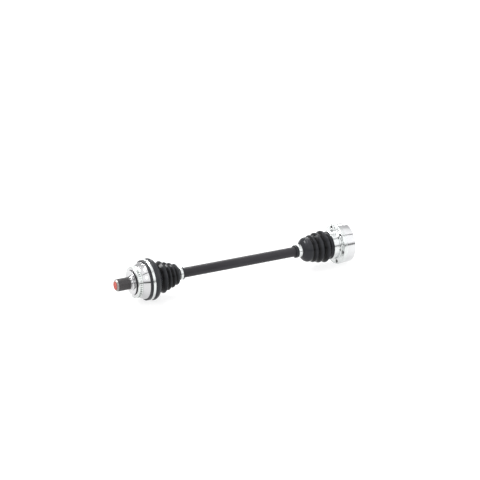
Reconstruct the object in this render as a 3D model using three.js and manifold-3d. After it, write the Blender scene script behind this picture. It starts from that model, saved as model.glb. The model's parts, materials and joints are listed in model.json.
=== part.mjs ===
// A drive axle with a constant-velocity joint at each end, in millimetres.
// The axle lies along X: the splined stub for the wheel hub points to -X, and the bolted joint for
// the gearbox is at +X. +Z is up, and the origin is the middle of the axle's overall length.
import * as THREE from "three";
import { mergeVertices } from "three/addons/utils/BufferGeometryUtils.js";
import Module from "manifold-3d";

const wasm = await Module();
wasm.setup();

// ---------------------------------------------------------------- driving dimensions

const JOINT_SPAN = 588.5; // centre of one joint to the centre of the other
const SIDES = 24; // sides of every turned outline, with a flat side facing up and down
const TOUCH = 0.3; // gap between pieces that seat on each other
const SWING = 1.0; // gap between spherical surfaces that turn in each other

// Bar
const BAR_R = 13.4;
const NECK_TAPER = 10; // length over which the waisted neck grows to the full bar
const SPLINE_TEETH = 24; // teeth between the bar and each star
const SPLINE_CREST_R = 13.1;
const TOOTH_DEPTH = 0.9;
const NECK_DROP = 0.1; // neck under the roots of the teeth
const BAR_NECK_R = SPLINE_CREST_R - TOOTH_DEPTH - NECK_DROP;
const BAR_TIP = 1.7; // bar left beyond each circlip

// Balls and what they run in, the same in both joints
const BALL_COUNT = 6;
const BALL_R = 8.5;
const BALL_CIRCLE_R = 30.5;
const BALL_WINDOW_GAP = 0.4; // ball to cage window
const TRACK_SLACK = 1.7; // ball to a track that it crosses at an angle
const STRAIGHT_TRACK_SLACK = 0.5; // ball to a straight track
const STAR_R = 27.2;
const STAR_RUNOUT = 0.5; // tracks cut beyond the star's faces, in radians
const CAGE_WALL = 4.8;
const OUTER_STAR_HALF = 13;
const INNER_STAR_HALF = 9.5;
const OUTER_CAGE_HALF = 16;
const INNER_CAGE_HALF = 13;

// Retainers on the bar
const CLIP_THICK = 1.4;
const CLIP_R = 14.3;
const CLIP_GROOVE_DEPTH = 1.4;
const CLIP_GAP_ANGLE = 0.9; // opening of the C, in radians
const WASHER_THICK = 1.2;
const WASHER_DISH = 1.6;
const WASHER_RIM_INSET = 7.2; // dished washer's rim inside the star's sphere
const STOP_RING_THICK = 3;
const STOP_RING_R = 18;

// Outer joint, measured from its centre towards the stub
const BELL_WALL = 8.3; // steel outside the ball tracks
const BELL_MOUTH = 14; // mouth plane in front of the centre
const BELL_MOUTH_R = 34.8;
const BELL_CHAMFER = 2; // outside the mouth
const BELL_TRACKS = [-0.9, 0.7]; // ball tracks from the mouth to the back, in radians
const BELL_SEAT_END = 12;
const BELL_BACK = 28; // where the flared back meets the tone ring
const BELL_FLARE = [[6, 1.9], [11, 4.5]]; // [beyond the seat, drop under it]
const BELL_BACK_R = 41.5;
const RING_STEP = 2.7; // step down to the tone ring's seat
const RING_SEAT_R = BELL_BACK_R - RING_STEP;
const RING_LENGTH = 12.4;
const BOSS_R = 33;
const BOSS_HEIGHT = 4;
const EDGE_BREAK = 0.6;
const STUB_SPLINE_R = 16.2;
const STUB_NECK_R = STUB_SPLINE_R + 1.4;
const NECK_FILLET = [[0, 2.4], [1, 0.7], [2.6, 0]]; // [from the boss, rise over the neck]
const STUB_NECK_LENGTH = 6;
const STUB_SPLINE_LENGTH = 34;
const STUB_TEETH = 38;
const STUB_CHAMFER = 4;
const STUB_BORE_R = 6.6; // drilled for the hub bolt's thread
const STUB_BORE_DEPTH = 38;

// Tone ring
const RING_WALL = 2.9;
const RING_WINDOWS = 45;
const WINDOW_LENGTH = 6.4;
const WINDOW_SHARE = 0.54; // of the pitch

// Stub plug
const STUB_RIM = 5.2; // teeth's tips to the plug's head
const PLUG_HEAD_R = STUB_SPLINE_R - STUB_RIM;
const PLUG_LAND = 1.5; // flat left on the stub round the plug
const PLUG_EDGE = 0.8;
const PLUG_HEAD_THICK = 2.2;
const PLUG_STEM_R = 6;
const PLUG_STEM_LENGTH = 12;
const PLUG_STEM_TAPER = [1.5, 1]; // [along, in] at the stem's end

// Inner joint, measured from its centre towards the gearbox
const BOLT_CIRCLE_R = 47;
const BOLT_COUNT = 6;
const BOLT_TURN = (-19 * Math.PI) / 180; // first bolt hole's place, from the top towards -Y
const BOLT_HOLE_R = 5.25;
const BOLT_RIM = 7; // bolt circle to the housing's rim
const HOUSING_R = BOLT_CIRCLE_R + BOLT_RIM;
const HOUSING_CHAMFER = 1.5; // towards the gearbox
const HOUSING_EDGE = 1;
const HOUSING_LENGTH = 35.5;
const COVER_SEAT_DEPTH = 1.5;
const COVER_HOLE_GAP = 0.75; // cover to the bolt holes
const COVER_SEAT_R = BOLT_CIRCLE_R - BOLT_HOLE_R - COVER_HOLE_GAP;
const COVER_DOME_CLEAR = 0.2; // dome radius over the cage
const COVER_DOME = 10; // dome beyond the gearbox face
const COVER_CORNER = 4;
const SHEET = 1.2;
const CAP_PLATE = 1.5;
const CAP_SHEET = 1.2;
const CAP_LIP_LENGTH = 11;
const CAP_NECK_CLEAR = 5.2; // neck radius over the housing's bore
const CAP_NECK_LENGTH = 21;
const CAP_VALLEY_DROP = 3; // the inner boot's first valley under the neck's radius
const CAP_CORNER = 2.5;
const CAP_EDGE = 2;

// Boots: walls and collars, and the folds as [distance from the joint's centre, radius]
const BOOT_WALL = 2.7;
const BOOT_LIP = 1; // lip over the small band's seat
const LIP_EDGE = 1;
const BOOT_BEAD = 0.5; // bead between the small band and the bellows
const BAND_THICK = 1;
const BAND_EAR_HEIGHT = 4.2;
const BAND_EAR_WIDTH = 6.5;
const BAND_EAR_SHARE = 0.8; // of the band's width
const EAR_TURN = 0.62 * Math.PI; // ear's place round the axle, from the top towards +Y
const CREST_HALF = 1.6; // half the width of a fold's rounded crest
const CREST_DROP = 0.5; // how far the edges of a crest lie under its middle

const OUTER_COLLAR_WALL = 3.3;
const OUTER_COLLAR_END = 10;
const OUTER_SHOULDER = 3; // shoulder over the large collar
const OUTER_RISE = [[-1, 1.4], [-4, 2.6], [-7, 3]]; // [beyond the band, rise over the collar]
const LARGE_BAND_X = 0.5;
const LARGE_BAND_WIDTH = 7;
const OUTER_BAND_WIDTH = 7;
const OUTER_SLOPE = [[-16, 53.4], [-21, 47.5]];
const OUTER_CRESTS = [[-41.5, 44], [-55.5, 38.8], [-69, 34.6], [-82.8, 29.6]];
const OUTER_VALLEYS = [[-30.5, 34.2], [-48.8, 32.4], [-62, 28.6], [-75.8, 24.6]];
const OUTER_NECK = [[-89.5, 19.5]];
const OUTER_SMALL_COLLAR = [-91.5, -104];

const INNER_BAND_WIDTH = 10.5;
const INNER_CRESTS = [[-57.5, 45.4], [-77, 42.7], [-93.5, 38.7]];
const INNER_NECK = [[-106, 34], [-113, 33.8], [-120.5, 28], [-124.5, 20.4]];
const INNER_SMALL_COLLAR = [-126, -145.5];
const CRIMP_DEPTH = 6; // boot held inside the cap's neck

// ---------------------------------------------------------------- sizes that follow

const STUB_REACH = BELL_BACK + TOUCH + RING_LENGTH + BOSS_HEIGHT + STUB_NECK_LENGTH
  + STUB_SPLINE_LENGTH + STUB_CHAMFER;
const PLUG_PROUD = PLUG_HEAD_THICK / 2;
const HOUSING_FACE = HOUSING_LENGTH / 2 + CAP_PLATE / 2; // gearbox face beyond the joint's centre
const BOLT_FACE = HOUSING_FACE - HOUSING_LENGTH - CAP_PLATE; // face under the bolt heads
const LENGTH = PLUG_PROUD + STUB_REACH + JOINT_SPAN + HOUSING_FACE + COVER_DOME;
const OUTER_X = -LENGTH / 2 + PLUG_PROUD + STUB_REACH;
const INNER_X = OUTER_X + JOINT_SPAN;
const WASHER_R = STAR_R - WASHER_RIM_INSET;
const CAGE_INNER_R = STAR_R + SWING;
const CAGE_OUTER_R = CAGE_INNER_R + CAGE_WALL;
const CUP_R = CAGE_OUTER_R + SWING; // spherical bore of the bell, and straight bore of the housing
const BELL_SEAT_R = BALL_CIRCLE_R + BALL_R + TRACK_SLACK + BELL_WALL;
const COVER_DOME_R = CAGE_OUTER_R + COVER_DOME_CLEAR;
const CAP_NECK_R = CUP_R + CAP_NECK_CLEAR;
const INNER_VALLEYS = [
  [-48.5, CAP_NECK_R - CAP_VALLEY_DROP], [-67.4, 36.6], [-85.4, 34.4], [-101.3, 32.6],
];
const BOOT_BAR_R = BAR_R + TOUCH + BOOT_WALL; // seat of each small band
const OUTER_COLLAR_R = BELL_SEAT_R + TOUCH + OUTER_COLLAR_WALL;
const OUTER_SHOULDER_R = OUTER_COLLAR_R + OUTER_SHOULDER;
const PITCH = (2 * Math.PI) / BALL_COUNT;
const INNER_START = BOLT_TURN + PITCH / 2; // first ball of the inner joint, between two bolts

// ---------------------------------------------------------------- helpers

/** A solid turned about X from a closed or axis-to-axis outline of [x, radius] points. */
function turned(outline, sides = SIDES) {
  const points = outline.map(([x, r]) => new THREE.Vector2(r, x));
  const closed = points[0].distanceTo(points[points.length - 1]) < 1e-9;
  if (!closed && points[0].x > 0) points.push(points[0].clone());
  if (THREE.ShapeUtils.area(points) < 0) points.reverse();
  const geometry = new THREE.LatheGeometry(points, sides, -Math.PI / sides);
  return geometry.rotateZ(-Math.PI / 2);
}

/** A plain ring about X. */
function ring(x0, x1, innerR, outerR) {
  return turned([[x0, innerR], [x0, outerR], [x1, outerR], [x1, innerR], [x0, innerR]]);
}

/** Points of an arc about [x, r], from one angle to another (0 is +X, a quarter turn is outward). */
function arc(x, r, radius, from, to, steps) {
  const points = [];
  for (let i = 0; i <= steps; i += 1) {
    const a = from + ((to - from) * i) / steps;
    points.push([x + radius * Math.cos(a), r + radius * Math.sin(a)]);
  }
  return points;
}

/** The part of a sphere's outline about the origin that lies between x0 and x1. */
function sphereOutline(radius, x0, x1, steps) {
  return arc(0, 0, radius, Math.acos(x0 / radius), Math.acos(x1 / radius), steps);
}

/** A three.js geometry as a manifold-3d solid. */
function solid(geometry) {
  const bare = geometry.clone();
  bare.deleteAttribute("normal");
  bare.deleteAttribute("uv");
  const merged = mergeVertices(bare, 1e-4);
  const mesh = new wasm.Mesh({
    numProp: 3,
    vertProperties: merged.attributes.position.array,
    triVerts: new Uint32Array(merged.index.array),
  });
  return new wasm.Manifold(mesh);
}

/** A manifold-3d solid as a three.js geometry. */
function geometryOf(made) {
  const mesh = made.getMesh();
  const geometry = new THREE.BufferGeometry();
  geometry.setAttribute("position", new THREE.BufferAttribute(mesh.vertProperties, 3));
  geometry.setIndex(new THREE.BufferAttribute(mesh.triVerts, 1));
  return geometry;
}

/** A body with a list of cutters taken out of it. */
function cut(body, cutters) {
  let made = solid(body);
  for (const cutter of cutters) made = made.subtract(solid(cutter));
  return geometryOf(made);
}

/** Copies of a geometry turned about X, count of them a pitch apart from a start angle. */
function around(geometry, count, start = 0) {
  const copies = [];
  for (let i = 0; i < count; i += 1) {
    copies.push(geometry.clone().rotateX(start + (2 * Math.PI * i) / count));
  }
  return copies;
}

/** A serrated rod along X: triangular teeth with their tips at crestR. */
function serrated(x0, x1, crestR, depth, teeth) {
  const shape = new THREE.Shape();
  for (let i = 0; i < 2 * teeth; i += 1) {
    const a = (Math.PI * i) / teeth;
    const r = i % 2 ? crestR - depth : crestR;
    if (i) shape.lineTo(r * Math.cos(a), r * Math.sin(a));
    else shape.moveTo(r, 0);
  }
  shape.closePath();
  const rod = new THREE.ExtrudeGeometry(shape, { depth: x1 - x0, bevelEnabled: false });
  return rod.rotateY(Math.PI / 2).translate(x0, 0, 0);
}

/** A round bar swept along an arc about the joint's centre, in the X-Z plane. */
function arcTrack(radius, slack, from, to, steps) {
  const path = new THREE.CurvePath();
  const point = (a) => new THREE.Vector3(radius * Math.sin(a), 0, radius * Math.cos(a));
  for (let i = 0; i < steps; i += 1) {
    const a = from + ((to - from) * i) / steps;
    const b = from + ((to - from) * (i + 1)) / steps;
    path.add(new THREE.LineCurve3(point(a), point(b)));
  }
  const section = new THREE.Shape();
  section.absarc(0, 0, BALL_R + slack, 0, 2 * Math.PI);
  return new THREE.ExtrudeGeometry(section, { steps, extrudePath: path, curveSegments: 5 });
}

/** A named mesh in its own painted or polished material. */
function piece(name, geometry, colour, roughness, metalness) {
  const material = new THREE.MeshStandardMaterial({ color: colour, roughness, metalness });
  const mesh = new THREE.Mesh(geometry, material);
  mesh.name = name;
  return mesh;
}

const POLISHED = [0xd6d8da, 0.22, 1];
const BLACK_PAINT = [0x1d1e20, 0.42, 0.2];
const RUBBER = [0x131416, 0.38, 0];
const BARE_STEEL = [0x9a9ca0, 0.35, 1];
const BAND_STEEL = [0xc9cbcd, 0.25, 1];
const PHOSPHATED = [0x4a4b4d, 0.5, 0.7];

// ---------------------------------------------------------------- bar and what is fixed to it

/** Where the spline, clip groove and tip lie beyond a star of the given half width. */
function barEnd(starHalf) {
  const clipStart = starHalf + TOUCH;
  const grooveEnd = clipStart + CLIP_THICK + TOUCH;
  return { clipStart, grooveStart: starHalf, grooveEnd, tip: grooveEnd + BAR_TIP };
}

/** One splined end of the bar about a joint's centre, with the groove for its circlip. */
function splinedEnd(starHalf) {
  const end = barEnd(starHalf);
  const rod = serrated(-starHalf - TOUCH, end.tip, SPLINE_CREST_R, TOOTH_DEPTH, SPLINE_TEETH);
  const grooveR = SPLINE_CREST_R - CLIP_GROOVE_DEPTH;
  const groove = ring(end.grooveStart, end.grooveEnd, grooveR, SPLINE_CREST_R + 1);
  return geometryOf(solid(rod).subtract(solid(groove)));
}

function bar() {
  const necks = [OUTER_X + OUTER_STAR_HALF, INNER_X - INNER_STAR_HALF];
  const outerFull = OUTER_X - OUTER_SMALL_COLLAR[0] - NECK_TAPER;
  const innerFull = INNER_X + INNER_SMALL_COLLAR[0] + NECK_TAPER;
  const body = turned([
    [necks[0], 0], [necks[0], BAR_NECK_R], [outerFull - NECK_TAPER, BAR_NECK_R],
    [outerFull, BAR_R], [innerFull, BAR_R], [innerFull + NECK_TAPER, BAR_NECK_R],
    [necks[1], BAR_NECK_R], [necks[1], 0],
  ]);
  const outerEnd = splinedEnd(OUTER_STAR_HALF).rotateZ(Math.PI).translate(OUTER_X, 0, 0);
  const innerEnd = splinedEnd(INNER_STAR_HALF).translate(INNER_X, 0, 0);
  const made = solid(body).add(solid(outerEnd)).add(solid(innerEnd));
  return piece("bar", geometryOf(made), ...BLACK_PAINT);
}

/** The star: the joint's inner race, with a curved ball track in each of its flutes. */
function star(name, half, start) {
  const body = turned([
    [-half, 0], ...sphereOutline(STAR_R, -half, half, 4), [half, 0],
  ]);
  const reach = half / BALL_CIRCLE_R + STAR_RUNOUT;
  const tracks = around(arcTrack(BALL_CIRCLE_R, TRACK_SLACK, -reach, reach, 4), BALL_COUNT, start);
  const boreCrest = SPLINE_CREST_R + TOUCH;
  const bore = serrated(-half - 1, half + 1, boreCrest, TOOTH_DEPTH, SPLINE_TEETH);
  return piece(name, cut(body, [...tracks, bore]), ...BARE_STEEL);
}

function circlip(name, starHalf) {
  const x = barEnd(starHalf).clipStart;
  const innerR = SPLINE_CREST_R - CLIP_GROOVE_DEPTH + TOUCH;
  const whole = ring(x, x + CLIP_THICK, innerR, CLIP_R);
  const gap = new THREE.BoxGeometry(4 * CLIP_THICK, 2 * CLIP_R * Math.sin(CLIP_GAP_ANGLE / 2), CLIP_R * 2)
    .translate(x, 0, CLIP_R);
  return piece(name, cut(whole, [gap]), ...PHOSPHATED);
}

/** A dished spring washer on the bar's neck, behind a star. */
function dishedWasher(name, starHalf) {
  const x = -starHalf - TOUCH;
  const innerR = SPLINE_CREST_R + TOUCH;
  return piece(name, turned([
    [x - WASHER_DISH, innerR], [x - WASHER_DISH - WASHER_THICK, innerR],
    [x - WASHER_THICK, WASHER_R], [x, WASHER_R], [x - WASHER_DISH, innerR],
  ]), ...PHOSPHATED);
}

/** The plastic stop ring behind the outer joint's dished washer. */
function stopRing(name, starHalf) {
  const x = -starHalf - WASHER_DISH - WASHER_THICK - 2 * TOUCH;
  const innerR = BAR_NECK_R + TOUCH;
  return piece(name, ring(x - STOP_RING_THICK, x, innerR, STOP_RING_R), 0x2f3133, 0.6, 0);
}

// ---------------------------------------------------------------- cages and balls

function cage(name, half, start) {
  const innerHalf = Math.min(half, CAGE_INNER_R - 1);
  const body = turned([
    ...sphereOutline(CAGE_OUTER_R, -half, half, 4),
    ...sphereOutline(CAGE_INNER_R, innerHalf, -innerHalf, 4),
  ]);
  const side = 2 * (BALL_R + BALL_WINDOW_GAP);
  const depth = side + 2 * CAGE_WALL;
  const window = new THREE.BoxGeometry(side, side, depth).translate(0, 0, BALL_CIRCLE_R);
  return piece(name, cut(body, around(window, BALL_COUNT, start)), ...PHOSPHATED);
}

function balls(prefix, start) {
  const made = [];
  for (let i = 0; i < BALL_COUNT; i += 1) {
    const a = start + i * PITCH;
    const ball = piece(`${prefix}_ball_${i + 1}`, new THREE.IcosahedronGeometry(BALL_R, 1), ...POLISHED);
    ball.position.set(0, -BALL_CIRCLE_R * Math.sin(a), BALL_CIRCLE_R * Math.cos(a));
    made.push(ball);
  }
  return made;
}

// ---------------------------------------------------------------- outer joint

/** The bell, its boss and the splined stub, forged in one piece. */
function outerRace() {
  const ringEnd = BELL_BACK + TOUCH + RING_LENGTH;
  const bossEnd = ringEnd + BOSS_HEIGHT;
  const splineStart = bossEnd + STUB_NECK_LENGTH;
  const splineEnd = splineStart + STUB_SPLINE_LENGTH;
  const rootR = STUB_SPLINE_R - TOOTH_DEPTH;
  const body = turned([
    [-BELL_MOUTH, 0], [-BELL_MOUTH, BELL_SEAT_R - BELL_CHAMFER],
    [-BELL_MOUTH + BELL_CHAMFER, BELL_SEAT_R], [BELL_SEAT_END, BELL_SEAT_R],
    ...BELL_FLARE.map(([along, drop]) => [BELL_SEAT_END + along, BELL_SEAT_R - drop]),
    [BELL_BACK, BELL_BACK_R],
    [BELL_BACK, RING_SEAT_R], [ringEnd, RING_SEAT_R], [ringEnd, BOSS_R],
    [bossEnd - EDGE_BREAK, BOSS_R], [bossEnd, BOSS_R - EDGE_BREAK],
    ...NECK_FILLET.map(([along, rise]) => [bossEnd + along, STUB_NECK_R + rise]),
    [splineStart - 2 * EDGE_BREAK, STUB_NECK_R], [splineStart, rootR], [splineStart, 0],
  ]);
  const teeth = serrated(splineStart - 0.5, splineEnd, STUB_SPLINE_R, TOOTH_DEPTH, STUB_TEETH);
  const tipR = PLUG_HEAD_R + PLUG_LAND;
  const tip = turned([
    [splineEnd - 0.2, 0], [splineEnd - 0.2, rootR - 0.1], [splineEnd, rootR - 0.1],
    [splineEnd + STUB_CHAMFER, tipR], [splineEnd + STUB_CHAMFER, 0],
  ]);
  const cup = new THREE.SphereGeometry(CUP_R, SIDES, 12).rotateZ(-Math.PI / 2);
  const mouth = turned([
    [-BELL_MOUTH - 1, 0], [-BELL_MOUTH - 1, BELL_MOUTH_R + 1], [-BELL_MOUTH, BELL_MOUTH_R],
    [-BELL_MOUTH + BELL_CHAMFER, BELL_MOUTH_R - BELL_CHAMFER], [-BELL_MOUTH + BELL_CHAMFER, 0],
  ]);
  const tracks = around(arcTrack(BALL_CIRCLE_R, TRACK_SLACK, ...BELL_TRACKS, 6), BALL_COUNT);
  const bore = turned([
    [STUB_REACH - STUB_BORE_DEPTH, 0], [STUB_REACH - STUB_BORE_DEPTH, STUB_BORE_R],
    [STUB_REACH - PLUG_HEAD_THICK / 2 - TOUCH, STUB_BORE_R],
    [STUB_REACH - PLUG_HEAD_THICK / 2 - TOUCH, PLUG_HEAD_R + TOUCH],
    [STUB_REACH + 1, PLUG_HEAD_R + TOUCH], [STUB_REACH + 1, 0],
  ]);
  let made = solid(body).add(solid(teeth)).add(solid(tip));
  for (const cutter of [cup, mouth, bore, ...tracks]) made = made.subtract(solid(cutter));
  return piece("outer_race", geometryOf(made), ...POLISHED);
}

/** The speed sensor's tone ring, pressed on behind the bell. */
function toneRing() {
  const x0 = BELL_BACK + TOUCH;
  const innerR = RING_SEAT_R + TOUCH;
  const body = ring(x0, x0 + RING_LENGTH - TOUCH, innerR, innerR + RING_WALL);
  const width = ((2 * Math.PI * (innerR + RING_WALL)) / RING_WINDOWS) * WINDOW_SHARE;
  const window = new THREE.BoxGeometry(WINDOW_LENGTH, width, 4 * RING_WALL)
    .translate(x0 + RING_LENGTH / 2, 0, innerR);
  return piece("tone_ring", cut(body, around(window, RING_WINDOWS)), ...BAND_STEEL);
}

function stubPlug() {
  const x = STUB_REACH;
  const head = PLUG_HEAD_THICK / 2;
  const stemEnd = x - head - PLUG_STEM_LENGTH;
  const [taper, taperIn] = PLUG_STEM_TAPER;
  return piece("stub_plug", turned([
    [stemEnd, 0], [stemEnd, PLUG_STEM_R - taperIn], [stemEnd + taper, PLUG_STEM_R],
    [x - head, PLUG_STEM_R], [x - head, PLUG_HEAD_R], [x + head - PLUG_EDGE, PLUG_HEAD_R],
    [x + head, PLUG_HEAD_R - PLUG_EDGE], [x + head, 0],
  ]), 0xc7452f, 0.5, 0);
}

// ---------------------------------------------------------------- boots and bands

/** The outline over a row of folds, valley first, with each crest rounded. */
function folds(valleys, crests) {
  return valleys.flatMap((valley, i) => {
    if (i >= crests.length) return [valley];
    const [x, r] = crests[i];
    return [valley, [x + CREST_HALF, r - CREST_DROP], [x, r], [x - CREST_HALF, r - CREST_DROP]];
  });
}

/** The small collar's outer outline: the bead, the band's seat and the lip. */
function smallCollar([root, lip], bandWidth) {
  const bandStart = root - 2 * BOOT_BEAD;
  const bandEnd = bandStart - bandWidth - 2 * TOUCH;
  const lipR = BOOT_BAR_R + BOOT_LIP;
  return [
    [root, BOOT_BAR_R + BOOT_BEAD], [bandStart, BOOT_BAR_R], [bandEnd, BOOT_BAR_R],
    [bandEnd, lipR], [lip + LIP_EDGE, lipR], [lip, lipR - LIP_EDGE],
  ];
}

/** The inside of a boot under the given outline, then the bore that grips the bar. */
function bootInside(outline, [root, lip]) {
  const boreR = BAR_R + TOUCH;
  const under = outline.map(([x, r]) => [x, Math.max(r - BOOT_WALL, boreR)]);
  return [...under, [root, boreR], [lip, boreR]];
}

/** A boot from its outer and inner outlines, both running from the large end to the lip. */
function boot(name, outer, inner) {
  return piece(name, turned([...outer, ...inner.reverse(), outer[0]]), ...RUBBER);
}

function outerBoot() {
  const seatR = BELL_SEAT_R + TOUCH;
  const bandStart = LARGE_BAND_X + LARGE_BAND_WIDTH / 2 + TOUCH;
  const bandEnd = bandStart - LARGE_BAND_WIDTH - 2 * TOUCH;
  const mouth = -BELL_MOUTH - TOUCH;
  const outer = [
    [OUTER_COLLAR_END, OUTER_COLLAR_R], [bandEnd, OUTER_COLLAR_R],
    ...OUTER_RISE.map(([along, rise]) => [bandEnd + along, OUTER_COLLAR_R + rise]), ...OUTER_SLOPE,
    ...folds(OUTER_VALLEYS, OUTER_CRESTS), ...OUTER_NECK,
    ...smallCollar(OUTER_SMALL_COLLAR, OUTER_BAND_WIDTH),
  ];
  const inside = [
    OUTER_SLOPE[1], ...OUTER_VALLEYS.flatMap((valley, i) => [valley, OUTER_CRESTS[i]]),
    ...OUTER_NECK,
  ];
  const inner = [
    [OUTER_COLLAR_END, seatR], [mouth, seatR], [mouth, seatR - BOOT_WALL],
    ...bootInside(inside, OUTER_SMALL_COLLAR),
  ];
  return boot("outer_boot", outer, inner);
}

/** The inner boot, whose large end is crimped in the neck of the steel cap. */
function innerBoot() {
  const neckEnd = BOLT_FACE - CAP_NECK_LENGTH;
  const gripR = CAP_NECK_R - CAP_SHEET - TOUCH;
  const start = neckEnd + CRIMP_DEPTH;
  const outer = [
    [start, gripR], ...folds(INNER_VALLEYS, INNER_CRESTS), ...INNER_NECK,
    ...smallCollar(INNER_SMALL_COLLAR, INNER_BAND_WIDTH),
  ];
  const inside = [
    ...INNER_CRESTS.flatMap((crest, i) => [INNER_VALLEYS[i], crest]),
    INNER_VALLEYS[INNER_CRESTS.length], ...INNER_NECK,
  ];
  const inner = [[start, gripR - BOOT_WALL], ...bootInside(inside, INNER_SMALL_COLLAR)];
  return boot("inner_boot", outer, inner);
}

/** A crimped band about the given middle, with its ear turned away from the top. */
function band(name, x, width, seatR, earHeight, earTurn) {
  const innerR = seatR + TOUCH;
  const outerR = innerR + BAND_THICK;
  const strip = ring(x - width / 2, x + width / 2, innerR, outerR);
  const ear = new THREE.BoxGeometry(width * BAND_EAR_SHARE, BAND_EAR_WIDTH, earHeight + BAND_THICK / 2)
    .translate(x, 0, outerR + earHeight / 2 - BAND_THICK / 4)
    .rotateX(earTurn);
  return piece(name, geometryOf(solid(strip).add(solid(ear))), ...BAND_STEEL);
}

/** The middle of the band's seat on a small collar. */
function smallBandX([root], width) {
  return root - 2 * BOOT_BEAD - TOUCH - width / 2;
}

// ---------------------------------------------------------------- inner joint

/** The bolted housing: a disc with straight ball tracks and six bolt holes. */
function innerRace() {
  const x0 = HOUSING_FACE - HOUSING_LENGTH;
  const body = turned([
    [x0, 0], [x0, HOUSING_R - HOUSING_EDGE], [x0 + HOUSING_EDGE, HOUSING_R],
    [HOUSING_FACE - HOUSING_CHAMFER, HOUSING_R], [HOUSING_FACE, HOUSING_R - HOUSING_CHAMFER],
    [HOUSING_FACE, 0],
  ]);
  const through = HOUSING_LENGTH + 2;
  const mid = HOUSING_FACE - HOUSING_LENGTH / 2;
  const bore = turned([[x0 - 1, 0], [x0 - 1, CUP_R], [HOUSING_FACE + 1, CUP_R], [HOUSING_FACE + 1, 0]]);
  const seat = turned([
    [HOUSING_FACE - COVER_SEAT_DEPTH, 0], [HOUSING_FACE - COVER_SEAT_DEPTH, COVER_SEAT_R],
    [HOUSING_FACE + 1, COVER_SEAT_R], [HOUSING_FACE + 1, 0],
  ]);
  const trackR = BALL_R + STRAIGHT_TRACK_SLACK;
  const track = new THREE.CylinderGeometry(trackR, trackR, through, 16).rotateZ(Math.PI / 2)
    .translate(mid, 0, BALL_CIRCLE_R);
  const cutters = [bore, seat, ...around(track, BALL_COUNT, INNER_START), ...boltHoles(mid, through)];
  return piece("inner_race", cut(body, cutters), ...POLISHED);
}

/** Cutters for the bolt holes, about the middle x and of the given length. */
function boltHoles(x, length) {
  const hole = new THREE.CylinderGeometry(BOLT_HOLE_R, BOLT_HOLE_R, length, 16).rotateZ(Math.PI / 2)
    .translate(x, 0, BOLT_CIRCLE_R);
  return around(hole, BOLT_COUNT, BOLT_TURN);
}

/** The pressed steel cap over the bolt face, with a lip round the housing and a neck for the boot. */
function bootCap() {
  const lipR = HOUSING_R + TOUCH;
  const inside = BOLT_FACE + CAP_PLATE - TOUCH;
  const neckEnd = BOLT_FACE - CAP_NECK_LENGTH;
  const neckIn = CAP_NECK_R - CAP_SHEET;
  const quarter = Math.PI / 2;
  const body = turned([
    [BOLT_FACE + CAP_LIP_LENGTH, lipR], [BOLT_FACE + CAP_LIP_LENGTH, lipR + CAP_SHEET],
    ...arc(BOLT_FACE + CAP_EDGE, lipR + CAP_SHEET - CAP_EDGE, CAP_EDGE, quarter, 2 * quarter, 3),
    ...arc(BOLT_FACE - CAP_CORNER, CAP_NECK_R + CAP_CORNER, CAP_CORNER, 0, -quarter, 3),
    [neckEnd, CAP_NECK_R], [neckEnd, neckIn], [inside, neckIn], [inside, lipR],
  ]);
  const holes = boltHoles(BOLT_FACE, 4 * CAP_PLATE);
  return piece("boot_cap", cut(body, holes), ...POLISHED);
}

/** The domed sheet cover that closes the joint on its gearbox side. */
function endCover() {
  const face = HOUSING_FACE;
  const top = face + COVER_DOME;
  const quarter = Math.PI / 2;
  const flangeR = COVER_SEAT_R - TOUCH;
  const back = face - SHEET;
  const innerR = COVER_DOME_R - SHEET;
  return piece("end_cover", turned([
    [back, innerR], [back, flangeR], [face, flangeR], [face, COVER_DOME_R],
    ...arc(top - COVER_CORNER, COVER_DOME_R - COVER_CORNER, COVER_CORNER, quarter, 0, 3),
    [top, 0], [top - SHEET, 0],
    ...arc(top - COVER_CORNER, COVER_DOME_R - COVER_CORNER, COVER_CORNER - SHEET, 0, quarter, 2),
  ]), ...BAND_STEEL);
}

// ---------------------------------------------------------------- assembly

const group = new THREE.Group();

// The outer joint is drawn about its own centre with +X towards the stub, then turned to face -X.
const outerJoint = new THREE.Group();
outerJoint.position.x = OUTER_X;
outerJoint.rotation.z = Math.PI;
outerJoint.add(
  outerRace(),
  toneRing(),
  stubPlug(),
  star("outer_star", OUTER_STAR_HALF, 0),
  cage("outer_cage", OUTER_CAGE_HALF, 0),
  ...balls("outer", 0),
  circlip("outer_circlip", OUTER_STAR_HALF),
  dishedWasher("outer_dished_washer", OUTER_STAR_HALF),
  stopRing("outer_stop_ring", OUTER_STAR_HALF),
  outerBoot(),
  band("outer_boot_large_band", LARGE_BAND_X, LARGE_BAND_WIDTH, OUTER_COLLAR_R,
    OUTER_SHOULDER - TOUCH - BAND_THICK, EAR_TURN),
  band("outer_boot_small_band", smallBandX(OUTER_SMALL_COLLAR, OUTER_BAND_WIDTH),
    OUTER_BAND_WIDTH, BOOT_BAR_R, BAND_EAR_HEIGHT, EAR_TURN),
);

const innerJoint = new THREE.Group();
innerJoint.position.x = INNER_X;
innerJoint.add(
  innerRace(),
  bootCap(),
  endCover(),
  star("inner_star", INNER_STAR_HALF, INNER_START),
  cage("inner_cage", INNER_CAGE_HALF, INNER_START),
  ...balls("inner", INNER_START),
  circlip("inner_circlip", INNER_STAR_HALF),
  dishedWasher("inner_dished_washer", INNER_STAR_HALF),
  innerBoot(),
  band("inner_boot_small_band", smallBandX(INNER_SMALL_COLLAR, INNER_BAND_WIDTH),
    INNER_BAND_WIDTH, BOOT_BAR_R, BAND_EAR_HEIGHT, -EAR_TURN),
);

group.add(bar(), outerJoint, innerJoint);

export default group;
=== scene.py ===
"""Dresses the frame of a drive axle: turned steel, splines, rubber boots, bands and the stage."""

import json
from math import atan2, cos, floor, hypot, pi, radians, sin

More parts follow.
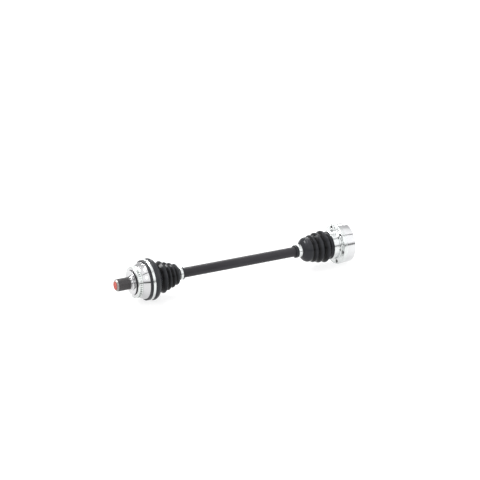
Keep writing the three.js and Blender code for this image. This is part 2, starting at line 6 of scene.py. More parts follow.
import bmesh
import bpy
from bpy.props import FloatProperty, FloatVectorProperty, IntProperty, PointerProperty
from mathutils import Matrix, Vector


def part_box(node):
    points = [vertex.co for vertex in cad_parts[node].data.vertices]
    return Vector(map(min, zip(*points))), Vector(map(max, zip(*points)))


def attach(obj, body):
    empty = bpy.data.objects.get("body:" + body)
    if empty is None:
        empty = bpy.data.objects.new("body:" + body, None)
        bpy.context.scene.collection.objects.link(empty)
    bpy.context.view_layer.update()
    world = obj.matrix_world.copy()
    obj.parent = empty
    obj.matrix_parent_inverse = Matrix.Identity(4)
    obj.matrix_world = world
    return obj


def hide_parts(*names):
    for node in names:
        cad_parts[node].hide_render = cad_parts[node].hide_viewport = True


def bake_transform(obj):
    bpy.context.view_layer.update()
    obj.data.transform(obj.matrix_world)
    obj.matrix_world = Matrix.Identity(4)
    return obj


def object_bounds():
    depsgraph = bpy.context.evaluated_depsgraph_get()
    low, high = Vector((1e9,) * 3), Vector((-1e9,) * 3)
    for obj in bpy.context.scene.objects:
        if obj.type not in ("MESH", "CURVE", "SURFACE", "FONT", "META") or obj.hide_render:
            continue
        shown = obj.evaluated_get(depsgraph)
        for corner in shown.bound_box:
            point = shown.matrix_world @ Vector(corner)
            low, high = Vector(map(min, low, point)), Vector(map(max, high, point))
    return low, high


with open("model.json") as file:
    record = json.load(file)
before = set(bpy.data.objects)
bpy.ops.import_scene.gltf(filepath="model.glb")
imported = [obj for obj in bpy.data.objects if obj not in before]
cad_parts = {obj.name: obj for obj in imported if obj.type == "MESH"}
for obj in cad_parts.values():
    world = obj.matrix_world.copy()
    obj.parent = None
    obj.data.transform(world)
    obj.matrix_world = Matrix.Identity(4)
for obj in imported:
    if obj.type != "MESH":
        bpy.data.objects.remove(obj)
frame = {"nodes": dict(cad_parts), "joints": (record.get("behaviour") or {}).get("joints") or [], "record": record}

bl_info = {
    "name": "Drive Axle",
    "version": (1, 0, 0),
    "blender": (4, 5, 0),
    "location": "View3D > Sidebar > Axle",
    "description": "Builds the pieces of a drive axle with a constant-velocity joint at each end",
    "category": "Add Mesh",
}

CAD_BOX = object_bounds()
MM = 0.001
TURN = 2 * pi
def mm(*lengths):
    """Lengths in metres, as millimetres."""
    return [value / MM for value in lengths]


def off_axle(point):
    """How far a point in metres lies from the axle's own line, in millimetres."""
    return hypot(point.y, point.z) / MM


def turn_of(point):
    """How far a point is turned about the axle from the top, towards the back."""
    return atan2(point.y, point.z)


# ---- places taken from the frame


def joint_x(name):
    """Where a joint of the frame lies along the axle, in millimetres."""
    return next(j["pos_m"][0] for j in frame["joints"] if j["name"] == name) / MM


class Joint:
    """A joint's own way along the axle: its centre, and which way its shaft end points."""

    def __init__(self, centre, way):
        self.centre = centre
        self.way = way

    def x(self, along):
        """The place on the axle, in millimetres, of a distance from the joint's centre."""
        return self.centre + self.way * along

    def along(self, x):
        """The distance from the joint's centre of a place on the axle."""
        return (x - self.centre) * self.way

    def end(self, node, side):
        """The same for one end of a CAD node's box."""
        return self.along(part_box(node)[side].x / MM)


AXLE = Joint(0, 1)
OUTER = Joint(joint_x("outer_bend"), -1)
INNER = Joint(joint_x("inner_bend"), 1)
HOUSING = (INNER.end("inner_race", 0), INNER.end("inner_race", 1))
COVER_TOP = INNER.end("end_cover", 1)
STUB_TIP = OUTER.end("outer_race", 0)
RING_BACK = OUTER.end("tone_ring", 1)
RING_FRONT = OUTER.end("tone_ring", 0)
CAP_FACE = INNER.end("boot_cap", 1)
CAP_NECK_END = INNER.end("boot_cap", 0)


def first_bolt():
    """How far the first bolt hole is turned from the top, towards the back."""
    hole = next(o for o in frame["record"]["physics"]["openings"] if o["name"] == "bolt_hole_1")
    (_, y0, z0), (_, y1, z1) = hole["box_m"]
    return atan2(y0 + y1, z0 + z1)


BOLT_TURN = first_bolt()
BOLTS = 6  # with as many ball tracks between them
TRACK_TURN = BOLT_TURN + TURN / (2 * BOLTS)


def turns(first):
    """How far round each of the holes or tracks lies."""
    return [first + index * TURN / BOLTS for index in range(BOLTS)]


# ---- sizes and colours


def length(name, description, default):
    """A length that a user can change, given in millimetres and kept in metres."""
    return FloatProperty(name=name, description=description, default=default * MM, unit="LENGTH")


def tint(name, description, default):
    """A colour that a user can change."""
    return FloatVectorProperty(
        name=name, description=description, default=default, subtype="COLOR", min=0, max=1
    )


class AxleSteelSizes(bpy.types.PropertyGroup):
    """Sizes of the turned and splined steel."""

    bar_radius: length("Bar radius", "Radius of the plain bar between the boots", 13.4)
    bar_neck: length("Bar neck radius", "Radius of the waisted necks in the joints", 12.1)
    stub_radius: length("Stub spline radius", "Radius over the stub's teeth", 16.2)
    tooth: length("Tooth depth", "Depth of the stub's and the bar's teeth", 0.95)
    stub_teeth: IntProperty(name="Stub teeth", description="Teeth round the stub", default=38)
    bar_teeth: IntProperty(name="Bar teeth", description="Teeth round the bar's ends", default=24)
    bell_radius: length("Bell radius", "Radius of the bell where the boot seats", 49.0)
    bell_back: length("Bell back radius", "Radius of the bell next to the tone ring", 41.5)
    boss: length("Boss radius", "Radius of the boss that meets the hub bearing", 33.0)
    housing: length("Housing radius", "Radius of the bolted housing", 54.0)
    cup: length("Cup radius", "Bore that the cage turns or slides in", 34.0)
    ball_circle: length("Ball circle radius", "Radius that the balls run on", 30.5)
    bolt_circle: length("Bolt circle radius", "Radius that the bolt holes lie on", 47.0)
    bolt_hole: length("Bolt hole radius", "Radius of each bolt hole", 5.25)
    sheet: length("Sheet thickness", "Thickness of the pressed cap and cover", 1.2)


class AxleBootSizes(bpy.types.PropertyGroup):
    """Sizes of the boots and of the bands that hold them."""

    wall: length("Wall", "Thickness of the rubber between its collars", 2.2)
    crest: length("Crest rounding", "How far back from its tip a fold is rounded", 3.4)
    valley: length("Valley rounding", "How far back from its root a valley is rounded", 2.2)
    collar: length("Small collar radius", "Seat of the small bands", 16.4)
    outer_collar: length("Large collar radius", "Seat of the large band", 52.6)
    outer_shoulder: length("Shoulder radius", "Shoulder next to the large band", 55.6)
    band: length("Band thickness", "Thickness of the steel bands", 1.0)


class AxleFinish(bpy.types.PropertyGroup):
    """Colours of the finishes."""

    steel: tint("Bell steel", "Ground steel of the bell and boss", (0.60, 0.60, 0.605))
    housing: tint("Housing steel", "Polished steel of the bolted housing", (0.70, 0.705, 0.71))
    # Near-black painted shade, on the boss's side wall and on the bolt holes' walls.
    painted_shade_black: tint("Painted shade black", "Dark band round the boss", (0.020, 0.020, 0.021))
    zinc: tint("Plated steel", "Bright plating of the cap and cover", (0.72, 0.74, 0.735))
    ring: tint("Tone ring steel", "Sintered and plated ring", (0.70, 0.73, 0.71))
    phosphate: tint("Phosphated steel", "Dark coating on the splines", (0.085, 0.082, 0.083))
    stub_end: tint("Stub end", "Uncoated end of the stub", (0.30, 0.29, 0.28))
    bearing: tint("Bearing steel", "Ground races and balls", (0.62, 0.61, 0.60))
    paint: tint("Bar paint", "Satin black paint", (0.017, 0.016, 0.019))
    rubber: tint("Rubber", "Boot rubber", (0.0066, 0.0069, 0.0077))
    plug: tint("Plug", "Thread plug in the stub", (0.44, 0.046, 0.022))
    nylon: tint("Stop ring", "Stop ring on the bar", (0.055, 0.056, 0.058))
    floor: tint("Floor", "Pale studio floor", (0.93, 0.93, 0.93))


def steel_sizes():
    """The panel's sizes of the steel."""
    return bpy.context.scene.axle_steel


def boot_sizes():
    """The panel's sizes of the boots and bands."""
    return bpy.context.scene.axle_boots


def finish():
    """The panel's colours."""
    return bpy.context.scene.axle_finish


# ---- shaping

FINE = 144  # steps round a turned piece
BORE_STEPS = 32  # steps round a drilled hole
TIGHT = 1.0  # a rounding below this gets three steps, and a wider one six
MERGE = 1e-6  # points closer than this, in metres, become one
CLOSED = 0.001  # radius of a rod's closed end, before its points are merged
TOOTH = (0, 0, 1, 1, 1, 0)  # the height at each step across a tooth, from root to crest


def add_object(name, data):
    """Makes an object and links it into the scene."""
    made = bpy.data.objects.new(name, data)
    bpy.context.scene.collection.objects.link(made)
    return made


def to_mesh(bm, name):
    """Turns a bmesh into a mesh and frees it."""
    mesh = bpy.data.meshes.new(name)
    bm.to_mesh(mesh)
    bm.free()
    return mesh


def new_verts(geometry):
    """The vertices in what a bmesh operator made."""
    return [item for item in geometry if isinstance(item, bmesh.types.BMVert)]


def mesh_piece(name, bm, body, slot, material, *replaced, sharp=32):
    """Makes an object of a finished bmesh, with smooth faces and creased edges."""
    bmesh.ops.remove_doubles(bm, verts=bm.verts, dist=MERGE)
    bmesh.ops.dissolve_degenerate(bm, edges=bm.edges, dist=MERGE / 10)
    bmesh.ops.recalc_face_normals(bm, faces=bm.faces)
    mesh = to_mesh(bm, name)
    mesh.shade_smooth()
    mesh.set_sharp_from_angle(angle=radians(sharp))
    mesh.materials.append(material)
    piece = add_object(name, mesh)
    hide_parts(*replaced)
    if body:
        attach(piece, body)
    return piece


def draw_outline(bm, joint, points):
    """Draws [along, radius, rounding] points as a wire and rounds the corners that ask for it."""
    closed = points[0][:2] == points[-1][:2]
    distinct = points[:-1] if closed else points
    verts = [
        bm.verts.new((joint.x(along) * MM, 0, radius * MM)) for along, radius, *_ in distinct
    ]
    edges = [bm.edges.new(pair) for pair in zip(verts, verts[1:])]
    if closed:
        edges.append(bm.edges.new((verts[-1], verts[0])))
    for vert, (_, _, *rounding) in zip(verts, distinct):
        if rounding:
            bmesh.ops.bevel(
                bm, geom=[vert], offset=rounding[0] * MM, affect="VERTICES", profile=0.5,
                segments=3 if rounding[0] < TIGHT else 6, material=-1, clamp_overlap=True,
            )


def spin_outline(bm, steps):
    """Spins everything in the bmesh once round the axle."""
    bmesh.ops.spin(
        bm, geom=bm.verts[:] + bm.edges[:], axis=(1, 0, 0), angle=TURN, steps=steps,
        use_merge=True,
    )


def turned(joint, points, steps=FINE):
    """A bmesh turned about the axle from an outline in a joint's own measure."""
    bm = bmesh.new()
    draw_outline(bm, joint, points)
    spin_outline(bm, steps)
    return bm


def splined(bm, joint, rings, teeth):
    """Draws a toothed rod through [along, crest radius, root radius] rings, closed at both ends."""
    steps = teeth * len(TOOTH)

    def places(verts):
        """Which step round the rod each vertex stands on."""
        return {vert: round(turn_of(vert.co) / TURN * steps) for vert in verts}

    circle = bmesh.ops.create_circle(bm, segments=steps, radius=1)["verts"]
    bmesh.ops.rotate(bm, verts=circle, matrix=Matrix.Rotation(pi / 2, 3, "Y"))
    ring = places(circle)
    for index, (along, crest, root) in enumerate(rings):
        if index:
            edges = [e for e in bm.edges if e.verts[0] in ring and e.verts[1] in ring]
            ring = places(new_verts(bmesh.ops.extrude_edge_only(bm, edges=edges)["geom"]))
        for vert, place in ring.items():
            radius = root + (crest - root) * TOOTH[place % len(TOOTH)]
            radius = max(radius, CLOSED) * MM
            angle = place * TURN / steps
            vert.co = Vector((
                joint.x(along) * MM, radius * sin(angle), radius * cos(angle)
            ))


def paint_bore_shade(piece, name, radius, circle):
    """Gives the walls of the bolt holes a second, near-black colour: painted shade inside the holes."""
    margin, upright = 0.05, 0.3
    piece.data.materials.append(coated_splines(name, finish().painted_shade_black))
    for face in piece.data.polygons:
        _, y, z = face.center / MM
        for angle in turns(BOLT_TURN):
            away = hypot(y - circle * sin(angle), z - circle * cos(angle))
            if away < radius + margin and abs(face.normal.x) < upright:
                face.material_index = 1


def join(bm, other):
    """Adds another bmesh to the first one and frees it."""
    spare = to_mesh(other, "spare")
    bm.from_mesh(spare)
    bpy.data.meshes.remove(spare)


def carve(bm, cutter):
    """Takes a cutter out of a bmesh with an exact Boolean, and returns the result."""
    blanks = []
    for part in (bm, cutter):
        bmesh.ops.remove_doubles(part, verts=part.verts, dist=MERGE)
        bmesh.ops.recalc_face_normals(part, faces=part.faces)
        blanks.append(add_object("blank", to_mesh(part, "blank")))
    modifier = blanks[0].modifiers.new("Cut", "BOOLEAN")
    modifier.operation = "DIFFERENCE"
    modifier.solver = "EXACT"
    modifier.object = blanks[1]
    bpy.context.view_layer.update()
    whole = blanks[0].evaluated_get(bpy.context.evaluated_depsgraph_get())
    result = bmesh.new()
    result.from_mesh(whole.to_mesh())
    for blank in blanks:
        mesh = blank.data
        bpy.data.objects.remove(blank)
        bpy.data.meshes.remove(mesh)
    return result


def drills(start, end, radius, circle, first=BOLT_TURN, flare=0.0):
    """Six round cutters on a circle of the inner joint. A flare chamfers both ends of a hole."""
    past = 1  # how far a flared cutter runs beyond the hole
    wide = radius + flare + past
    outline = [
        (start - past, 0), (start - past, wide), (start + flare, radius),
        (end - flare, radius), (end + past, wide), (end + past, 0),
    ] if flare else [(start, 0), (start, radius), (end, radius), (end, 0)]
    bm = bmesh.new()
    for angle in turns(first):
        centre = Vector((0, circle * MM * sin(angle), circle * MM * cos(angle)))
        drill = bmesh.new()
        draw_outline(drill, INNER, outline)
        spin_outline(drill, BORE_STEPS)
        bmesh.ops.translate(drill, verts=drill.verts, vec=centre)
        join(bm, drill)
    return bm


# ---- finishes


class Nodes:
    """A node tree under construction."""

    def __init__(self, owner):
        owner.use_nodes = True
        self.tree = owner.node_tree

    def node(self, kind, **settings):
        """Adds a node and sets its properties and inputs by name."""
        made = self.tree.nodes.new(kind)
        for key, value in settings.items():
            if hasattr(made, key):
                setattr(made, key, value)
            else:
                made.inputs[key.replace("_", " ")].default_value = value
        return made

    def link(self, source, target):
        """Joins an output to an input."""
        self.tree.links.new(source, target)

    def calculate(self, operation, *values):
        """A Math node over outputs and numbers."""
        made = self.node("ShaderNodeMath", operation=operation)
        for socket, value in zip(made.inputs, values):
            if isinstance(value, bpy.types.NodeSocket):
                self.link(value, socket)
            else:
                socket.default_value = value
        return made.outputs["Value"]


class Recipe(Nodes):
    """A material under construction: its shader, and the coordinates that its patterns read."""

    def __init__(self, name, **sockets):
        self.material = bpy.data.materials.new(name)
        super().__init__(self.material)
        self.shader = self.tree.nodes["Principled BSDF"]
        self.place = self.node("ShaderNodeTexCoord").outputs["Object"]
        for key, value in sockets.items():
            self.shader.inputs[key.replace("_", " ")].default_value = value

    def noise(self, scale, detail=3.0, stretch=(1, 1, 1)):
        """A noise over the piece, in cycles per metre, squeezed by stretch."""
        mapping = self.node("ShaderNodeMapping")
        mapping.inputs["Scale"].default_value = stretch
        self.link(self.place, mapping.inputs["Vector"])
        made = self.node("ShaderNodeTexNoise", Scale=scale, Detail=detail)
        self.link(mapping.outputs["Vector"], made.inputs["Vector"])
        return made.outputs["Fac"]

    def lathe_marks(self, scale, detail=2.0):
        """Rings left by turning: noise on the distance along the axle plus that from it."""
        split = self.node("ShaderNodeSeparateXYZ")
        self.link(self.place, split.inputs["Vector"])
        flat = self.node("ShaderNodeCombineXYZ")
        self.link(split.outputs["Y"], flat.inputs["Y"])
        self.link(split.outputs["Z"], flat.inputs["Z"])
        radius = self.node("ShaderNodeVectorMath", operation="LENGTH")
        self.link(flat.outputs["Vector"], radius.inputs[0])
        total = self.calculate("ADD", split.outputs["X"], radius.outputs["Value"])
        made = self.node("ShaderNodeTexNoise", noise_dimensions="1D", Scale=scale, Detail=detail)
        self.link(total, made.inputs["W"])
        return made.outputs["Fac"]

    def spread(self, source, low, high, start=0.3, end=0.7):
        """A pattern's value stretched from start..end to low..high."""
        made = self.node("ShaderNodeMapRange", clamp=True)
        for socket, value in zip(made.inputs[1:5], (start, end, low, high)):
            socket.default_value = value
        self.link(source, made.inputs["Value"])
        return made.outputs["Result"]

    def roughen(self, source, low, high):
        """Varies the roughness by a pattern."""
        self.link(self.spread(source, low, high), self.shader.inputs["Roughness"])

    def colour(self, source, colour, dark, light, start=0.35, end=0.65):
        """Mixes a darker and a lighter share of a colour by a pattern into the base colour."""
        mix = self.node("ShaderNodeMix", data_type="RGBA")
        for socket in mix.inputs:
            if socket.type == "RGBA" and socket.name in "AB":
                share = dark if socket.name == "A" else light
                socket.default_value = (*(min(1.0, c * share) for c in colour), 1)
        self.link(self.spread(source, 0, 1, start, end), mix.inputs["Factor"])
        output = next(s for s in mix.outputs if s.type == "RGBA")
        self.link(output, self.shader.inputs["Base Color"])

    def bump(self, *layers):
        """Bumps the surface by (pattern, height in metres) layers."""
        last = None
        for source, height in layers:
            made = self.node("ShaderNodeBump", Strength=1.0, Distance=height)
            self.link(source, made.inputs["Height"])
            if last:
                self.link(last, made.inputs["Normal"])
            last = made.outputs["Normal"]
        self.link(last, self.shader.inputs["Normal"])


def ground_steel(name, colour, rough, marks=2.5e-6):
    """Turned and polished steel, with fine rings, smudges and a slightly uneven tone."""
    recipe = Recipe(name, Metallic=1.0)
    smudge = recipe.noise(26, 4.0)
    recipe.colour(smudge, colour, 0.93, 1.03)
    rings = recipe.lathe_marks(2600)
    recipe.roughen(smudge, *rough)
    recipe.bump((rings, marks), (recipe.noise(900, 2.0), marks / 3))
    return recipe.material


def plated_sheet(name, colour):
    """Pressed sheet under bright zinc: soft waviness, a fine grain and faint stains."""
    recipe = Recipe(name, Metallic=1.0)
    stain = recipe.noise(60, 5.0)
    recipe.colour(stain, colour, 0.88, 1.04)
    recipe.roughen(stain, 0.12, 0.26)
    recipe.bump((recipe.noise(90, 1.0), 4e-5), (recipe.noise(1500, 2.0), 1.2e-6))
    return recipe.material


def band_strip(name, colour):
    """Stainless strip, rolled along its length, with fine lines round the axle."""
    recipe = Recipe(name, Metallic=1.0)
    lines = recipe.noise(700, 3.0, (8, 1, 1))
    recipe.colour(recipe.noise(45), colour, 0.9, 1)
    recipe.roughen(lines, 0.14, 0.3)
    recipe.bump((lines, 2e-6))
    return recipe.material


def coated_splines(name, colour):
    """Dark phosphate, worn brighter in patches, with a fine grain."""
    recipe = Recipe(name, Metallic=0.85)
    wear = recipe.noise(420, 4.0)
    recipe.colour(wear, colour, 0.8, 1.5, 0.3, 0.75)
    recipe.roughen(wear, 0.28, 0.5)
    recipe.bump((recipe.noise(2200, 2.0), 6e-6))
    return recipe.material


def bar_paint(name, colour):
    """Satin paint, a little cloudy, with a faint orange peel over turning marks."""
    recipe = Recipe(name, Specular_IOR_Level=0.25, Coat_Weight=0.08, Coat_Roughness=0.35)
    cloud = recipe.noise(30, 4.0, (0.3, 1, 1))
    recipe.colour(cloud, colour, 0.8, 1.35)
    recipe.roughen(cloud, 0.36, 0.5)
    recipe.bump((recipe.noise(1100, 1.0), 1.6e-5), (recipe.lathe_marks(900), 4e-6))
    return recipe.material


def boot_rubber(name, colour):
    """Moulded rubber: semi-gloss, with pale bloom in patches, painted shade in the valleys and a painted highlight
    on the folds.
    """
    recipe = Recipe(name, Specular_IOR_Level=0.14)
    bloom = recipe.noise(38, 4.0)
    painted_fold_light = recipe.node("ShaderNodeAttribute", attribute_name="fold").outputs["Fac"]
    painted_light_and_bloom = recipe.calculate("ADD", painted_fold_light, recipe.spread(bloom, -0.15, 0.15))
    # Painted shade and painted highlight: the base colour runs from a fifth of the rubber's colour in the valleys
    # to over four times it on the folds. It follows the stored fold share, nudged by the bloom noise.
    recipe.colour(painted_light_and_bloom, colour, 0.2, 4.4, 0.25, 1.0)
    recipe.roughen(bloom, 0.14, 0.25)
    recipe.bump((recipe.noise(1600, 2.0), 1.2e-5), (recipe.noise(160, 2.0), 5e-5))
    return recipe.material


def moulded_plastic(name, colour, rough=(0.34, 0.48)):
    """Injection-moulded plastic with flow marks and a fine grain."""
    recipe = Recipe(name)
    flow = recipe.noise(160, 3.0)
    recipe.colour(flow, colour, 0.72, 1.12)
    recipe.roughen(flow, *rough)
    recipe.bump((recipe.noise(2600, 2.0), 6e-6))
    return recipe.material


def studio_floor(name, colour):
    """A pale, faintly mottled floor that gives some light of its own, so it stays near white."""
    recipe = Recipe(name, Emission_Color=(*colour, 1), Emission_Strength=0.84)
    mottle = recipe.noise(3, 3.0)
    recipe.colour(mottle, colour, 0.25, 0.27)
    recipe.roughen(mottle, 0.7, 0.8)
    return recipe.material


# ---- the bar and its retainers

OUTER_SMALL_COLLAR = (-91.5, -104.0)  # where each small collar starts and ends
INNER_SMALL_COLLAR = (-126.0, -145.5)
BAR_SPLINES = (30.0, 26.0)  # lengths of its splined ends
BAR_TAPER = 10.0  # the length over which it widens from a neck


class AXLE_OT_bar(bpy.types.Operator):
    """Make the bar, waisted at its ends and splined where the stars sit"""

    bl_idname = "axle.bar"
    bl_label = "Bar"

    def execute(self, context):
        sizes = steel_sizes()
        full, neck, tooth = mm(sizes.bar_radius, sizes.bar_neck, sizes.tooth)
        crest, ease = neck + tooth, 3
        tips = (AXLE.end("bar", 0), AXLE.end("bar", 1))
        starts = (tips[0] + BAR_SPLINES[0], tips[1] - BAR_SPLINES[1])
        outer_neck = OUTER.x(OUTER_SMALL_COLLAR[0])
        inner_neck = INNER.x(INNER_SMALL_COLLAR[0])
        bm = turned(AXLE, [
            (starts[0], 0), (starts[0], neck), (outer_neck, neck, ease),
            (outer_neck + BAR_TAPER, full, ease), (inner_neck - BAR_TAPER, full, ease),
            (inner_neck, neck, ease), (starts[1], neck), (starts[1], 0),
        ])
        for tip, start, way in ((tips[0], starts[0], 1), (tips[1], starts[1], -1)):
            splined(bm, AXLE, [
                (tip, 0, 0), (tip, neck - 1, neck - 1), (tip + way, neck, neck),
                (tip + 2 * way, crest, neck), (start - 2 * way, crest, neck),
                (start + way, neck, neck), (start + way, 0, 0),
            ], sizes.bar_teeth)
        mesh_piece(
            "drive_bar", bm, "bar", "satin_black", bar_paint("Bar paint", finish().paint), "bar"
        )
        return {"FINISHED"}


class AXLE_OT_retainers(bpy.types.Operator):
    """Finish the stars, cages, clips, washers and stop ring, which keep their CAD shape"""

    bl_idname = "axle.retainers"
    bl_label = "Stars, Cages and Retainers"

    def execute(self, context):
        colours = finish()
        bearing = ground_steel("Bearing steel", colours.bearing, (0.2, 0.34), 4e-6)
        dark = coated_splines("Phosphated steel", colours.phosphate)
        nylon = moulded_plastic("Stop ring nylon", colours.nylon, (0.45, 0.6))
        finishes = {
            "star": bearing, "cage": dark, "circlip": dark, "dished_washer": dark,
            "stop_ring": nylon,
        }
        for node, piece in frame["nodes"].items():
            kind = node.partition("_")[2]
            for material_slot in piece.material_slots if kind in finishes else ():
                material_slot.material = finishes[kind]
        return {"FINISHED"}


class AXLE_OT_balls(bpy.types.Operator):
    """Make the twelve ground balls, each in place of its CAD ball"""

    bl_idname = "axle.balls"
    bl_label = "Balls"

    def execute(self, context):
        steel = ground_steel("Ball steel", finish().bearing, (0.05, 0.09), 1e-6)
        bodies = {"outer": "outer_cage", "inner": "inner_cage"}
        for node in sorted(name for name in frame["nodes"] if "_ball_" in name):
            low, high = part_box(node)
            bm = bmesh.new()
            bmesh.ops.create_uvsphere(
                bm, u_segments=32, v_segments=20, radius=(high.x - low.x) / 2
            )
            bmesh.ops.translate(bm, verts=bm.verts, vec=(low + high) / 2)
            mesh_piece(
                node.replace("ball", "ground_ball"), bm, bodies[node.split("_")[0]],
                "bearing_steel", steel, node, sharp=80,
            )
        return {"FINISHED"}


# ---- outer joint


STUB_RECESS = 4.9  # how far below the crests the plug's recess lies
STUB_BORE = 6.6  # radius of the hole for the hub's bolt
EIGHTH = ((1, 0), (0.985, 0.17), (0.94, 0.34), (0.866, 0.5), (0.766, 0.643))  # of a circle
RING_SEAT = 2.7  # how far below the bell's back the tone ring sits
RING_GAP = 0.3
RING_WALL = 2.9


def stub_rings(sizes, start, tip):
    """The rings of the stub from inside the boss: neck, spline run-out, teeth, chamfer, end."""
    crest, tooth = mm(sizes.stub_radius, sizes.tooth)
    root = crest - tooth
    neck = crest + 1.4
    spline = start + 10
    chamfer = tip - 4
    recess = crest - STUB_RECESS
    rings = [(start + along, neck + out, neck + out) for along, out in (
        (0, 3), (4, 3), (4.6, 1.0), (5.6, 0.1), (6.6, -0.2), (6.8, 0.25), (8.4, 0.25),
        (8.8, -0.6), (9.6, -0.9),
    )]
    rings += [
        (spline, crest, crest - 0.3), (spline + 2, crest, root + 0.25),
        (spline + 5, crest, root), (chamfer, crest, root),
    ]
    rings += [(along, radius, radius) for along, radius in (
        (chamfer + 0.9, root), (chamfer + 1.5, root - 0.2), (tip - 0.3, recess + 1.6),
        (tip, recess + 1.2), (tip, recess + 0.3), (tip - 0.4, recess), (tip - 1.5, recess),
        (tip - 1.5, STUB_BORE), (tip - 38, STUB_BORE), (tip - 42, 0),
    )]
    return rings


class AXLE_OT_outer_race(bpy.types.Operator):
    """Make the bell with its round hollow and its boss, and the splined stub for the hub"""

    bl_idname = "axle.outer_race"
    bl_label = "Bell and Stub"

    def execute(self, context):
        sizes = steel_sizes()
        seat, back, boss, cup = mm(sizes.bell_radius, sizes.bell_back, sizes.boss, sizes.cup)
        mouth, seat_end = -14.0, 12.0
        bell_back = RING_BACK - RING_GAP
        ring_end = RING_FRONT + RING_GAP
        ring_seat = back - RING_SEAT
        boss_end = ring_end + 4
        hollow = [(cup * along, cup * out) for along, out in EIGHTH]
        hollow += [(cup * out, cup * along) for along, out in reversed(EIGHTH)]
        bm = turned(OUTER, hollow + [
            (mouth + 2, cup - 1.5), (mouth, cup + 1), (mouth, seat - 2, 0.8),
            (mouth + 2, seat, 0.8), (seat_end, seat, 2), (seat_end + 6, seat - 1.9, 4),
            (seat_end + 11, seat - 4.6, 4), (bell_back - 0.6, back + 0.5, 0.5),
            (bell_back, back - 0.4), (bell_back, ring_seat), (ring_end, ring_seat, 0.6),
            (ring_end, boss, 0.5), (boss_end, boss, 1.2), (boss_end, boss - 7, 0.8),
            (boss_end - 0.7, boss - 8.4, 0.8), (boss_end - 0.7, 0),
        ])
        splined(bm, OUTER, stub_rings(sizes, boss_end - 4, STUB_TIP), sizes.stub_teeth)
        colours = finish()
        steel = ground_steel("Polished steel", colours.steel, (0.08, 0.18))
        piece = mesh_piece("bell_and_stub", bm, "hub_end", "polished_steel", steel, "outer_race")
        add = piece.data.materials.append
        add(coated_splines("Stub phosphate", colours.phosphate))
        add(coated_splines("Painted shade black", colours.painted_shade_black))
        add(ground_steel("Stub end steel", colours.stub_end, (0.25, 0.4)))
        phosphate, painted_shade_black, bare = 1, 2, 3
        spline_start = OUTER.x(boss_end + 5.5) * MM
        tip = OUTER.x(STUB_TIP - 4.2) * MM
        # The boss's side wall takes near-black as painted shade.
        shaded_boss_wall = (OUTER.x(boss_end - 0.5) * MM, OUTER.x(ring_end - 0.1) * MM)
        for face in piece.data.polygons:
            along = face.center.x
            if along < tip:
                face.material_index = bare
            elif along < spline_start:
                face.material_index = phosphate
            elif shaded_boss_wall[0] < along < shaded_boss_wall[1] and boss - 2 < off_axle(face.center) < boss + 1:
                face.material_index = painted_shade_black
        return {"FINISHED"}


class AXLE_OT_tone_ring(bpy.types.Operator):
    """Make the tone ring with its row of windows"""

    bl_idname = "axle.tone_ring"
    bl_label = "Tone Ring"

    windows: IntProperty(name="Windows", description="Windows round the ring", default=45)

    def execute(self, context):
        inner = steel_sizes().bell_back / MM - RING_SEAT + RING_GAP
        outer = inner + RING_WALL
        middle = (RING_BACK + RING_FRONT) / 2
        half = 3.2
        bm = turned(OUTER, [
            (RING_BACK, inner), (RING_BACK, outer, 0.5), (middle - half, outer),
            (middle + half, outer), (RING_FRONT, outer, 0.5), (RING_FRONT, inner),
            (middle + half, inner), (middle - half, inner), (RING_BACK, inner),
        ], steps=self.windows * 4)
        bmesh.ops.remove_doubles(bm, verts=bm.verts, dist=MERGE)
        pitch = TURN / self.windows
        doomed = []
        for face in bm.faces:
            centre = face.calc_center_median()
            away = abs(OUTER.along(centre.x / MM) - middle)
            on_wall = abs(face.normal.x) < 0.1
            if away < half - 0.1 and on_wall and 0.25 < turn_of(centre) / pitch % 1 < 0.75:
                doomed.append(face)
        bmesh.ops.delete(bm, geom=doomed, context="FACES")
        groups = {}
        for edge in bm.edges:
            if edge.is_boundary:
                centre = (edge.verts[0].co + edge.verts[1].co) / 2
                key = floor(turn_of(centre) / pitch) % self.windows
                groups.setdefault(key, []).append(edge)
        for edges in groups.values():
            bmesh.ops.bridge_loops(bm, edges=edges)
        piece = mesh_piece(
            "windowed_tone_ring", bm, "hub_end", "plated_steel",
            ground_steel("Tone ring steel", finish().ring, (0.2, 0.34), 5e-6), "tone_ring",
        )
        edge_round = piece.modifiers.new("Broken edges", "BEVEL")
        edge_round.width = 0.25 * MM
        edge_round.segments = 2
        edge_round.limit_method = "ANGLE"
        edge_round.angle_limit = radians(50)
        return {"FINISHED"}


class AXLE_OT_stub_plug(bpy.types.Operator):
    """Make the plug that keeps dirt out of the stub's thread"""

    bl_idname = "axle.stub_plug"
    bl_label = "Stub Plug"

    def execute(self, context):
        head = OUTER.end("stub_plug", 0)
        rim = steel_sizes().stub_radius / MM - STUB_RECESS - 0.3
        foot, under, dish = head - 14, head - 2.2, head - 0.7
        shank = STUB_BORE - 0.6
        bm = turned(OUTER, [
            (foot, 0), (foot, shank - 1, 0.5), (foot + 1.5, shank), (under, shank),
            (under, rim, 0.3), (head, rim, 0.9), (head, rim - 2.4, 0.4), (dish, rim - 3.1, 0.4),
            (dish, 2.6, 0.4), (head - 0.2, 1.9, 0.4), (head - 0.2, 0),
        ], steps=96)
        mesh_piece(
            "thread_plug", bm, "hub_end", "plug_plastic",
            moulded_plastic("Plug plastic", finish().plug), "stub_plug",
        )
        return {"FINISHED"}


# ---- boots

